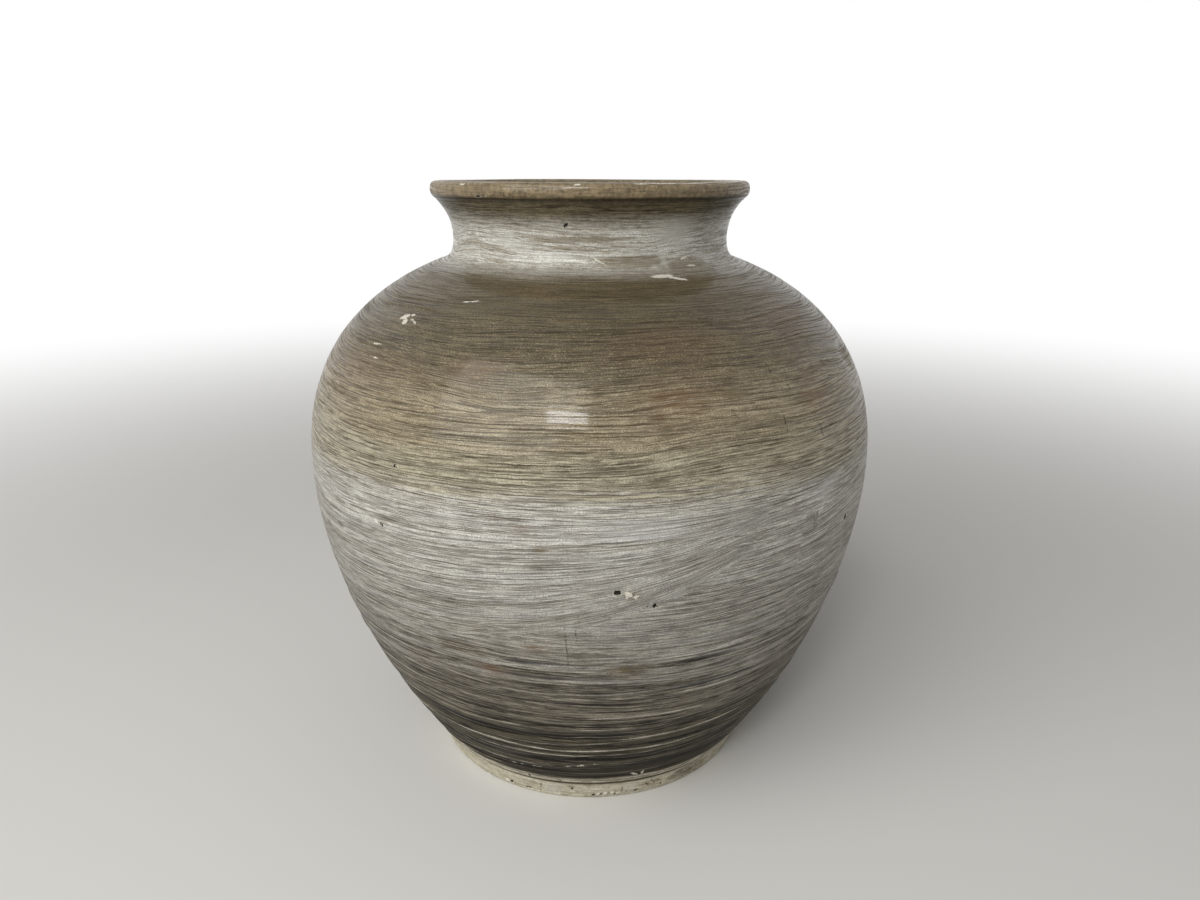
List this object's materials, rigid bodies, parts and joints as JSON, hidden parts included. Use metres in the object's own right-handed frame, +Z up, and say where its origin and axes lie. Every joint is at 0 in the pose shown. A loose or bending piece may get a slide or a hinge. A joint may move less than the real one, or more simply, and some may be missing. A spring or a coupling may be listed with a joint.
{
  "type": "stoneware jar",
  "caption": "Broad-shouldered stoneware storage jar with a waisted neck, rolled lip and turned foot ring, in brushed slip under a clear glaze.",
  "frame": {"origin": "centre of the foot ring's underside, on the surface that the jar stands on", "axes": "+Z up along the axis of the jar; +Y away from the side that the picture shows, +X to its right"},
  "size_m": [0.2696, 0.2696, 0.28],
  "materials": {
    "bare_clay": "bare stoneware clay, cream to buff, matt and pitted",
    "white_slip": "grey-white slip brushed on in fine bands, under a thin clear glaze with a soft gloss",
    "brown_slip": "olive-brown slip with fine brush lines, under a thin clear glaze with a soft gloss"
  },
  "bodies": {
    "root": {"foot_ring": "bare_clay", "base_floor": "brown_slip", "lower_wall": "white_slip", "upper_wall": "brown_slip", "neck": "white_slip", "lip": "brown_slip"}
  },
  "joints": []
}
